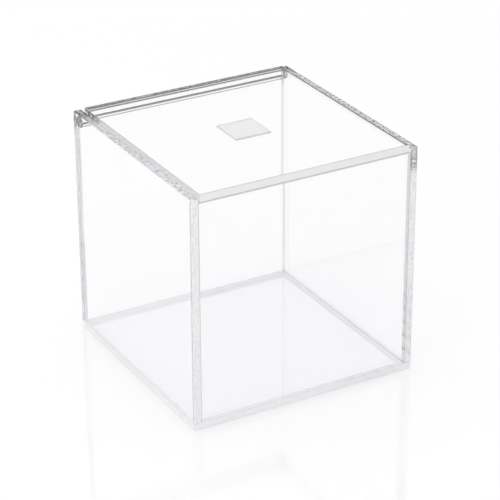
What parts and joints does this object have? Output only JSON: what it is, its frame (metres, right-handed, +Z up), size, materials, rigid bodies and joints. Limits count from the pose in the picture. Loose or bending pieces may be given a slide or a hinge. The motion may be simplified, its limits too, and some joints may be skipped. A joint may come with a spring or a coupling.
{
  "type": "coffee capsule holder",
  "caption": "Clear acrylic box for coffee capsules on a counter, with a full-width lid cemented to a round rod that turns in the side panels along the back.",
  "frame": {"origin": "centre of the footprint, on the surface the box stands on", "axes": "+Z up through the lid, -Y towards the front, where the lid opens, and +X to the right seen from the front"},
  "size_m": [0.12, 0.12, 0.12],
  "materials": {
    "clear_acrylic": "polished",
    "clear_rod": "polished",
    "satin_acrylic": "satin"
  },
  "bodies": {
    "box": {"base_plate": "clear_acrylic", "left_panel": "clear_acrylic", "right_panel": "clear_acrylic", "front_panel": "clear_acrylic", "back_panel": "clear_acrylic"},
    "lid": {"lid_plate": "clear_acrylic", "hinge_rod": "clear_rod", "lid_plaque": "satin_acrylic"}
  },
  "joints": [
    {"name": "lid_hinge", "type": "hinge", "parent": "box", "child": "lid", "pos_m": [0, 0.0558, 0.1137], "axis": [-1, 0, 0], "range_deg": [0, 110]}
  ]
}
